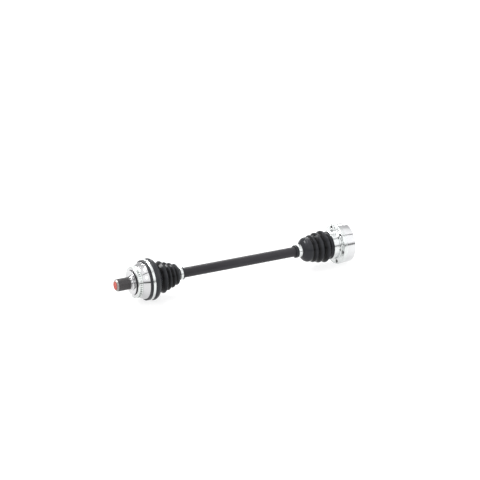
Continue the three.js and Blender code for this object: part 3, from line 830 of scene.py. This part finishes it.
OUTER_CRESTS = [(-41.5, 44.0), (-55.5, 38.8), (-69.0, 34.6), (-82.8, 29.6)]
OUTER_VALLEYS = [(-30.5, 34.2), (-48.8, 32.4), (-62.0, 28.6), (-75.8, 24.6)]
OUTER_MOUTH = (-21.5, 47.0, 2)  # the corner below the shoulder
OUTER_NECK = (-89.5, 19.5, 1.5)
OUTER_SKIRT = 10  # how far the boot reaches along the bell
INNER_CRESTS = [(-57.5, 45.4), (-77.0, 42.7), (-93.5, 38.7)]
INNER_VALLEYS = [(-48.5, 36.2), (-67.4, 36.6), (-85.4, 34.4), (-101.3, 32.6)]
INNER_NECK = [(-106.0, 34.0, 2.8), (-113.0, 33.8, 4.0), (-120.5, 28.0, 4.3), (-124.5, 20.4, 3.0)]
INNER_SEAM = (-57.5, 44.0)  # where the two lengths meet, on top of the first fold
INNER_GRIP = 6  # how far the boot reaches into the cap's neck
SEAM_EASE = 1.45  # from the seam to the corner on each side of it
SEAM_ROUNDING = 1.35
FIT = 0.15  # the gap between a piece and the steel that it sits on
OUTER_BAND = 7  # widths of the small bands
INNER_BAND = 10.5
COLLAR_BEAD = 1  # from the start of a small collar to its band's seat
BAND_PLAY = 0.3  # on each side of a small band


def folds(valleys, crests):
    """The outline over a row of folds, valley first, with every turn rounded."""
    dip, top = mm(boot_sizes().valley, boot_sizes().crest)
    outline = []
    for index, valley in enumerate(valleys):
        outline.append((*valley, dip))
        if index < len(crests):
            outline.append((*crests[index], top))
    return outline


def level(points, along):
    """The radius at a distance along a row of [along, radius] points, which run outwards."""
    for (near, high), (far, low) in zip(points, points[1:]):
        if near >= along >= far:
            return high + (low - high) * (near - along) / (near - far)
    return points[0][1] if along > points[0][0] else points[-1][1]


def bellows(name, joint, outline, rubber, node, valleys, crests):
    """Makes a length of a boot, and stores how far each point stands out: 0 in valleys, 1 on folds. The rubber
    paints shade into the valleys and a highlight onto the folds by it.
    """
    ease, plain = 4.0, 0.9
    piece = mesh_piece(name, turned(joint, outline), None, "boot_rubber", rubber, node)
    marks = piece.data.attributes.new("fold", "FLOAT", "POINT")
    for vert, mark in zip(piece.data.vertices, marks.data):
        along = joint.along(vert.co.x / MM)
        low, high = level(valleys, along), level(crests, along)
        beyond = max(along - valleys[0][0], valleys[-1][0] - along, 0)
        painted_fold_light = min(max((off_axle(vert.co) - low) / (high - low), 0), 1)
        # Past the row of folds, the collars and shoulder ramp up to 0.9, so they take the painted highlight too.
        mark.value = max(painted_fold_light, min(beyond / ease, plain))
    return piece


def small_collar(root, lip, width, seat):
    """The small collar: a bead, the band's seat and the lip beyond it."""
    start = root - COLLAR_BEAD
    end = start - width - 2 * BAND_PLAY
    return [
        (root, seat + 0.7, 0.4), (start, seat, 0.2), (end, seat, 0.2), (end, seat + 1, 0.3),
        (lip, seat + 1, 0.8), (lip, steel_sizes().bar_radius / MM + FIT),
    ]


def lining(outline, root, wall):
    """The inside of a boot under its outline, from its bore at the collar to the large end."""
    bore = steel_sizes().bar_radius / MM + FIT
    inside = [(along, max(radius - wall, bore), *rest) for along, radius, *rest in outline]
    return [(root, bore, 0.8)] + inside[::-1]


class AXLE_OT_outer_boot(bpy.types.Operator):
    """Make the outer boot, from its banded collar on the bell to its collar on the bar"""

    bl_idname = "axle.outer_boot"
    bl_label = "Outer Boot"

    def execute(self, context):
        sizes = boot_sizes()
        collar, shoulder, seat, wall = mm(
            sizes.outer_collar, sizes.outer_shoulder, sizes.collar, sizes.wall
        )
        bell = steel_sizes().bell_radius / MM + FIT
        rest = -14.3  # the step inside the boot that the bell's mouth stops against
        root, lip = OUTER_SMALL_COLLAR
        run = [OUTER_MOUTH] + folds(OUTER_VALLEYS, OUTER_CRESTS) + [OUTER_NECK]
        outline = [
            (OUTER_SKIRT, bell), (OUTER_SKIRT, collar + 0.4, 0.5), (4.6, collar + 0.4, 0.2),
            (4.4, collar, 0.2), (-3.4, collar, 0.2), (-4.2, collar + 1.6, 0.7),
            (-6.2, collar + 1.8, 0.5), (-6.9, shoulder - 0.5, 0.6), (-9.2, shoulder, 0.8),
            (-12.6, shoulder - 0.6, 1.2), (-15.5, shoulder - 2.6, 1.5),
            (-17.5, shoulder - 3.4, 0.6),
        ]
        outline += run + small_collar(root, lip, OUTER_BAND, seat) + lining(run, root, wall)
        outline += [(rest, bell - 4), (rest, bell), (OUTER_SKIRT, bell)]
        rubber = boot_rubber("Boot rubber", finish().rubber)
        piece = bellows(
            "outer_bellows", OUTER, outline, rubber, "outer_boot", OUTER_VALLEYS, OUTER_CRESTS
        )
        OUTER.x(-15) * MM
        OUTER.x(-76) * MM
        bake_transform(piece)
        return {"FINISHED"}


class AXLE_OT_inner_boot(bpy.types.Operator):
    """Make the inner boot in two lengths that meet on a fold"""

    bl_idname = "axle.inner_boot"
    bl_label = "Inner Boot"

    def execute(self, context):
        wall, seat = mm(boot_sizes().wall, boot_sizes().collar)
        grip = cap_neck() - steel_sizes().sheet / MM - FIT
        root, lip = INNER_SMALL_COLLAR
        start = CAP_NECK_END + INNER_GRIP
        seam = INNER_SEAM
        near = folds(INNER_VALLEYS[:1], []) + [(seam[0] + SEAM_EASE, seam[1], SEAM_ROUNDING)]
        far = [seam, (seam[0] - SEAM_EASE, seam[1], SEAM_ROUNDING)]
        far += folds(INNER_VALLEYS[1:], INNER_CRESTS[1:]) + INNER_NECK
        lips = [(CAP_NECK_END - 1.5, grip + 0.2, 0.8), (CAP_NECK_END - 2.6, grip - 1.6, 0.8)]
        cap_side = [(start, grip)] + lips + near + [seam]
        cap_side += [(along, radius - wall, *rest) for along, radius, *rest in [seam] + near[::-1]]
        cap_side += [(start, grip - wall), (start, grip)]
        bar_side = far + small_collar(root, lip, INNER_BAND, seat)
        bar_side += lining(far, root, wall) + [seam]
        rubber = boot_rubber("Inner boot rubber", finish().rubber)
        place = INNER.x(seam[0]) * MM
        shared = (rubber, "inner_boot", INNER_VALLEYS, INNER_CRESTS)
        plunging = bellows("inner_bellows_cap_side", INNER, cap_side, *shared)
        INNER.x(CAP_NECK_END) * MM
        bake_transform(plunging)
        bending = bellows("inner_bellows_bar_side", INNER, bar_side, *shared)
        INNER.x(-105) * MM
        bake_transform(bending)
        return {"FINISHED"}


EAR_LEAN = 0.62 * pi  # how far each ear lies from the top, towards the back


def band(joint, middle, width, seat, ear_height):
    """A strip with rounded edges, and the ear that pinches it."""
    thick = boot_sizes().band / MM
    inner = seat + 0.05
    outer = inner + thick
    near, far = middle - width / 2, middle + width / 2
    bm = turned(joint, [
        (near, inner, 0.2), (near, outer, 0.35), (far, outer, 0.35), (far, inner, 0.2),
        (near, inner, 0.2),
    ])
    ear = bmesh.new()
    ear_width = 0.84 * width
    top = outer + ear_height
    side = 3.2
    flank = [
        (side + 1.2, outer - 0.4 * thick), (side - 0.2, outer + 0.6), (side - 0.9, top - 1.2),
        (side - 1.6, top),
    ]
    start = joint.x(middle - ear_width / 2) * MM
    face = ear.faces.new([
        ear.verts.new((start, y * MM, z * MM))
        for y, z in [(-y, z) for y, z in flank] + flank[::-1]
    ])
    grown = bmesh.ops.extrude_face_region(ear, geom=[face])["geom"]
    bmesh.ops.translate(ear, verts=new_verts(grown), vec=(joint.way * ear_width * MM, 0, 0))
    bmesh.ops.recalc_face_normals(ear, faces=ear.faces)
    bmesh.ops.bevel(
        ear, geom=ear.edges[:], offset=0.35 * MM, offset_type="OFFSET", affect="EDGES",
        segments=2, profile=0.5, material=-1, clamp_overlap=True,
    )
    bmesh.ops.rotate(ear, verts=ear.verts, matrix=Matrix.Rotation(-EAR_LEAN, 3, "X"))
    join(bm, ear)
    return bm


class AXLE_OT_bands(bpy.types.Operator):
    """Make the three steel bands that hold the boots"""

    bl_idname = "axle.bands"
    bl_label = "Boot Bands"

    def execute(self, context):
        collar, seat = mm(boot_sizes().outer_collar, boot_sizes().collar)
        steel = band_strip("Band steel", finish().zinc)
        edge = COLLAR_BEAD + BAND_PLAY
        outer_small = OUTER_SMALL_COLLAR[0] - edge - OUTER_BAND / 2
        inner_small = INNER_SMALL_COLLAR[0] - edge - INNER_BAND / 2
        rows = (
            ("outer_large_clamp", OUTER, 0.5, 7, collar, 1.7, "hub_end", "outer_boot_large_band"),
            ("outer_small_clamp", OUTER, outer_small, OUTER_BAND, seat, 4.2, "bar",
             "outer_boot_small_band"),
            ("inner_small_clamp", INNER, inner_small, INNER_BAND, seat, 4.2, "bar",
             "inner_boot_small_band"),
        )
        for name, joint, middle, width, radius, ear, body, node in rows:
            bm = band(joint, middle, width, radius, ear)
            mesh_piece(name, bm, body, "band_steel", steel, node)
        return {"FINISHED"}


# ---- inner joint

BALL_TRACK = 9  # radius of each straight track
CAP_PLATE = 1.5  # thickness of the cap's face under the bolt heads
CAP_GAP = 0.3  # between the cap's face and the housing
NECK_STEP = 5.2  # how far the cap's neck stands outside the cup's bore


def cap_neck():
    """The radius of the outside of the cap's neck."""
    return steel_sizes().cup / MM + NECK_STEP


class AXLE_OT_inner_race(bpy.types.Operator):
    """Make the bolted housing with its ball tracks and bolt holes"""

    bl_idname = "axle.inner_race"
    bl_label = "Housing"

    def execute(self, context):
        sizes = steel_sizes()
        rim, cup, circle, hole, bolts = mm(
            sizes.housing, sizes.cup, sizes.ball_circle, sizes.bolt_hole, sizes.bolt_circle
        )
        start, end = HOUSING
        seat = bolts - hole - 0.75
        recess = end - 1.5
        bm = turned(INNER, [
            (start, cup, 0.5), (start, rim - 0.8, 0.3), (start + 0.8, rim, 0.3),
            (end - 1.6, rim, 0.4), (end, rim - 1.6, 0.4), (end, seat + 0.4), (end - 0.4, seat),
            (recess, seat), (recess, cup, 0.4), (start, cup, 0.5),
        ])
        bm = carve(bm, drills(start, end, hole, bolts, flare=0.6))
        bm = carve(bm, drills(start - 2, end + 2, BALL_TRACK, circle, TRACK_TURN))
        piece = mesh_piece(
            "joint_housing", bm, "gearbox_end", "polished_steel",
            ground_steel("Housing steel", finish().housing, (0.07, 0.16)), "inner_race",
        )
        # Painted shade on the walls of the bolt holes.
        paint_bore_shade(piece, "Housing bores", hole, bolts)
        return {"FINISHED"}


PAD_HALF = 13.5  # half the width of the flat that each bolt head sits on
PAD_RAMP = 1.4
PAD_DEPTH = 1.1
PAD_ZONE = (43.4, 54.6)  # the radii between which the plate is pressed back
PAD_STEP = 1.4
PAD_FADE = (1.2, 1.4)  # the widths over which the pressing sets in


def raise_pads(bm, face):
    """Presses the plate back between the bolts, so that each bolt has a straight-sided pad."""
    inner, outer = PAD_ZONE
    for vert in bm.verts:
        along = INNER.along(vert.co.x / MM)
        radius = off_axle(vert.co)
        if not (face - 0.6 < along < face + CAP_PLATE + 0.3 and inner < radius < outer):
            continue
        off = (turn_of(vert.co) - BOLT_TURN + TURN / 12) % (TURN / 6) - TURN / 12
        across = abs(radius * sin(off))
        share = min(max((across - PAD_HALF) / PAD_RAMP, 0), 1)
        fade = min((radius - inner) / PAD_FADE[0], (outer - radius) / PAD_FADE[1], 1)
        vert.co.x += INNER.way * share * max(fade, 0) * PAD_DEPTH * MM


class AXLE_OT_boot_cap(bpy.types.Operator):
    """Make the pressed cap that carries the inner boot under the bolt heads"""

    bl_idname = "axle.boot_cap"
    bl_label = "Boot Cap"

    def execute(self, context):
        sizes = steel_sizes()
        sheet, hole, bolts = mm(sizes.sheet, sizes.bolt_hole, sizes.bolt_circle)
        rim = sizes.housing / MM + FIT
        neck = cap_neck()
        face = HOUSING[0] - CAP_PLATE - CAP_GAP
        back = face + CAP_PLATE
        plate = [PAD_ZONE[0] + step * PAD_STEP for step in range(8)]
        outside = [(CAP_FACE, rim), (CAP_FACE, rim + sheet, 0.3), (face, rim + sheet, 2.0)]
        outside += [(face, radius) for radius in reversed(plate)]
        outside += [(face, neck, 2.4), (CAP_NECK_END, neck, 0.3), (CAP_NECK_END, neck - sheet)]
        inside = [(back, neck - sheet, 2.0)] + [(back, radius) for radius in plate]
        inside += [(back, rim), (CAP_FACE, rim)]
        bm = turned(INNER, outside + inside, steps=216)
        raise_pads(bm, face)
        bm = carve(bm, drills(face - 4, face + 6, hole, bolts))
        piece = mesh_piece(
            "pressed_boot_cap", bm, "gearbox_end", "plated_steel",
            plated_sheet("Plated sheet", finish().zinc), "boot_cap",
        )
        # Painted shade on the walls of the bolt holes.
        paint_bore_shade(piece, "Cap hole edges", hole, bolts)
        return {"FINISHED"}


class AXLE_OT_end_cover(bpy.types.Operator):
    """Make the domed cover that closes the joint towards the gearbox"""

    bl_idname = "axle.end_cover"
    bl_label = "End Cover"

    def execute(self, context):
        sizes = steel_sizes()
        sheet, cup = mm(sizes.sheet, sizes.cup)
        face, top = HOUSING[1], COVER_TOP
        dome = cup - 0.8
        flange = (sizes.bolt_circle - sizes.bolt_hole) / MM - 1.05
        dish, step, foot = top - 0.7, dome - 7, dome - 8
        bm = turned(INNER, [
            (face - sheet, dome - sheet, 1.1), (face - sheet, flange), (face, flange, 0.3),
            (face, dome, 1.6), (top, dome, 4), (top, step, 0.8), (dish, foot, 0.8),
            (dish, 0), (dish - sheet, 0), (dish - sheet, foot - sheet, 0.6),
            (top - sheet, step - sheet, 0.6), (top - sheet, dome - sheet, 3),
            (face - sheet, dome - sheet),
        ])
        mesh_piece(
            "domed_end_cover", bm, "gearbox_end", "plated_steel",
            plated_sheet("Plated cover", finish().zinc), "end_cover",
        )
        return {"FINISHED"}


# ---- the stage


class AXLE_OT_stage(bpy.types.Operator):
    """Make the floor, the soft lights, the sky and the camera"""

    bl_idname = "axle.stage"
    bl_label = "Stage"

    azimuth: FloatProperty(
        name="Azimuth", description="Camera's way round", default=radians(-28.418), subtype="ANGLE"
    )
    elevation: FloatProperty(
        name="Elevation", description="Camera's height angle", default=radians(19.749),
        subtype="ANGLE",
    )
    distance: FloatProperty(
        name="Distance", description="Camera to the point it looks at", default=4.25129,
        unit="LENGTH",
    )

    def execute(self, context):
        self.lay_floor()
        self.hang_lights()
        self.paint_sky(context.scene)
        self.aim_camera(context.scene)
        context.scene.view_settings.view_transform = "Standard"
        return {"FINISHED"}

    def lay_floor(self):
        """Lays the floor under the lowest point of the axle."""
        bm = bmesh.new()
        bmesh.ops.create_grid(bm, x_segments=4, y_segments=4, size=14)
        bmesh.ops.translate(bm, verts=bm.verts, vec=(0, 0, CAD_BOX[0].z))
        floor = add_object("studio_floor", to_mesh(bm, "studio_floor"))
        floor.data.materials.append(studio_floor("Studio floor", finish().floor))

    def hang_lights(self):
        """Hangs the soft lights, each of them turned to the middle of the axle."""
        rows = (
            ("overhead_softbox", (-0.3, 0.4, 3.2), (2.4, 0.5), 30),
            ("boot_softbox", (-2.3, 1.9, 2.8), (1.9, 0.8), 115),
            ("top_strip", (0.9, 2.4, 2.9), (2.2, 0.22), 30),
            ("front_softbox", (-2.2, -3.6, 2.6), (0.9, 0.9), 9),
            ("side_softbox", (3.6, -1.2, 1.8), (0.8, 1.2), 8),
            ("rim_softbox", (1.9, 3.9, 1.7), (2.6, 0.5), 26),
        )
        for name, place, (wide, deep), power in rows:
            light = bpy.data.lights.new(name, "AREA")
            light.shape = "RECTANGLE"
            light.size, light.size_y, light.energy = wide, deep, power
            lamp = add_object(name, light)
            lamp.location = place
            lamp.rotation_euler = (-Vector(place)).to_track_quat("-Z", "Y").to_euler()

    def paint_sky(self, scene):
        """White bands along the axle from the front horizon over the top, with a thin dark flag."""
        scene.world = bpy.data.worlds.new("Studio")
        sky = Nodes(scene.world)
        split = sky.node("ShaderNodeSeparateXYZ")
        ramp = sky.node("ShaderNodeValToRGB")
        background = sky.tree.nodes["Background"]
        sky.link(sky.node("ShaderNodeTexCoord").outputs["Generated"], split.inputs["Vector"])
        forward = sky.calculate("MULTIPLY", split.outputs["Y"], -1)
        height = sky.calculate("ARCTAN2", split.outputs["Z"], forward)
        sky.link(sky.calculate("DIVIDE", height, pi), ramp.inputs["Fac"])
        sky.link(ramp.outputs["Color"], background.inputs["Color"])
        background.inputs["Strength"].default_value = 1.0
        steps = (
            (0.0, 0.08), (5.0, 0.12), (10.0, 0.7), (16.0, 1.4), (60.0, 1.4), (61.0, 0.1),
            (65.0, 0.1), (66.0, 1.4), (98.0, 1.2), (120.0, 0.66), (180.0, 0.62),
        )
        elements = ramp.color_ramp.elements
        for degrees, _ in steps[2:]:
            elements.new(degrees / 180)
        for element, (degrees, value) in zip(elements, steps):
            element.position = degrees / 180
            element.color = (value, value, value * 1.01, 1)

    def aim_camera(self, scene):
        """Sets the camera at its distance from the point that it looks at."""
        target = Vector((0.01186, 0, 0.06252))
        camera = bpy.data.cameras.new("camera")
        camera.lens = 120
        camera.sensor_width = 36
        camera.clip_end = 60
        back = Vector((
            sin(self.azimuth) * cos(self.elevation),
            -cos(self.azimuth) * cos(self.elevation),
            sin(self.elevation),
        ))
        eye = add_object("camera", camera)
        eye.location = target + back * self.distance
        eye.rotation_euler = (-back).to_track_quat("-Z", "Y").to_euler()
        scene.camera = eye


# ---- panel and registration

OPERATORS = (
    AXLE_OT_stage, AXLE_OT_bar, AXLE_OT_retainers, AXLE_OT_balls, AXLE_OT_outer_race,
    AXLE_OT_tone_ring, AXLE_OT_stub_plug, AXLE_OT_outer_boot, AXLE_OT_bands,
    AXLE_OT_inner_race, AXLE_OT_boot_cap, AXLE_OT_end_cover, AXLE_OT_inner_boot,
)


class AXLE_PT_pieces(bpy.types.Panel):
    """The axle's sizes, its colours and one button for each group of pieces"""

    bl_idname = "AXLE_PT_pieces"
    bl_label = "Drive Axle"
    bl_space_type = "VIEW_3D"
    bl_region_type = "UI"
    bl_category = "Axle"

    def draw(self, context):
        for group in (steel_sizes(), boot_sizes(), finish()):
            column = self.layout.column(align=True)
            for name in group.__annotations__:
                column.prop(group, name)
        for operator in OPERATORS:
            self.layout.operator(operator.bl_idname)


GROUPS = {
    "axle_steel": AxleSteelSizes,
    "axle_boots": AxleBootSizes,
    "axle_finish": AxleFinish,
}


def register():
    for group in GROUPS.values():
        bpy.utils.register_class(group)
    for name, group in GROUPS.items():
        setattr(bpy.types.Scene, name, PointerProperty(type=group))
    for operator in OPERATORS:
        bpy.utils.register_class(operator)
    bpy.utils.register_class(AXLE_PT_pieces)


def unregister():
    bpy.utils.unregister_class(AXLE_PT_pieces)
    for operator in reversed(OPERATORS):
        bpy.utils.unregister_class(operator)
    for name, group in GROUPS.items():
        delattr(bpy.types.Scene, name)
        bpy.utils.unregister_class(group)


def main():
    register()
    for operator in OPERATORS:
        group, name = operator.bl_idname.split(".")
        getattr(getattr(bpy.ops, group), name)()


if __name__ == "__main__":
    main()
